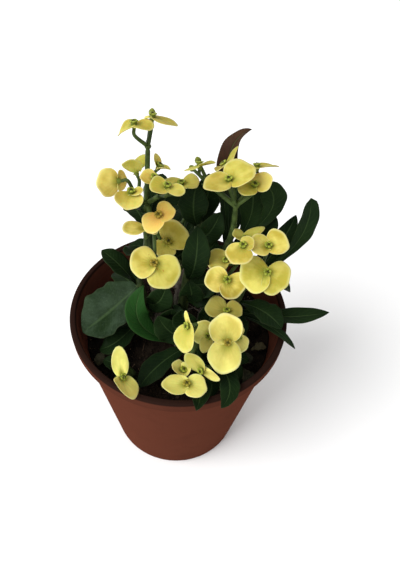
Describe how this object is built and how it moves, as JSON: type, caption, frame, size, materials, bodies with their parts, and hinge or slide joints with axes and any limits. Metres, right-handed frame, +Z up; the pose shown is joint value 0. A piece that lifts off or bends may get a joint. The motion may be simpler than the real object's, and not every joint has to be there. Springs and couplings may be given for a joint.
{
  "type": "potted crown of thorns",
  "caption": "Crown of thorns plant with spiny woody stems, leafy shoots and yellow paired bracts, rooted in the soil of a round tapered nursery pot.",
  "frame": {"origin": "centre of the underside of the pot, in the plane the pot stands on", "axes": "+Z up along the axis of the pot; -Y is the front, the side that the blooms turn to"},
  "size_m": [0.1522, 0.1484, 0.2368],
  "materials": {
    "terracotta_plastic": "satin, moulded",
    "soil": "loose and rough, dark brown",
    "wood": "rough grey bark with spines",
    "leaf": "smooth waxy dark green",
    "stalk": "smooth green",
    "bract": "soft yellow, paler at the edge"
  },
  "bodies": {
    "root": {"pot": "terracotta_plastic", "soil": "soil", "woody_stem_left": "wood", "woody_stem_right": "wood", "woody_stem_front": "wood", "woody_stem_back": "wood", "leafy_shoot_back_left": "leaf", "leafy_shoot_centre": "leaf", "leafy_shoot_back_right": "leaf", "leafy_shoot_right": "leaf", "leafy_shoot_front": "leaf", "leafy_shoot_left": "leaf", "leafy_shoot_middle": "leaf", "leafy_shoot_back": "leaf", "leafy_shoot_low": "leaf", "flower_stalk_back_left": "stalk", "bloom_top_1": "bract", "bloom_top_2": "bract", "bloom_left_1": "bract", "bloom_left_2": "bract", "bloom_left_3": "bract", "bloom_left_4": "bract", "bloom_left_5": "bract", "bloom_left_6": "bract", "bloom_left_7": "bract", "bloom_middle_1": "bract", "bloom_middle_2": "bract", "bloom_middle_3": "bract", "bloom_middle_4": "bract", "flower_stalk_back_right": "stalk", "bloom_back_1": "bract", "bloom_back_2": "bract", "bloom_back_3": "bract", "bloom_back_4": "bract", "bloom_back_5": "bract", "flower_stalk_right": "stalk", "bloom_right_1": "bract", "bloom_right_2": "bract", "bloom_right_3": "bract", "bloom_right_4": "bract", "bloom_right_5": "bract", "bloom_right_6": "bract", "flower_stalk_front": "stalk", "bloom_front_1": "bract", "bloom_front_2": "bract", "bloom_front_3": "bract", "bloom_front_4": "bract", "bloom_front_5": "bract", "bloom_front_6": "bract", "bloom_low_1": "bract", "bloom_low_2": "bract", "flower_stalk_low": "stalk", "bloom_low_3": "bract", "flower_stalk_back": "stalk", "bloom_rear_1": "bract", "bloom_rear_2": "bract"}
  },
  "joints": []
}
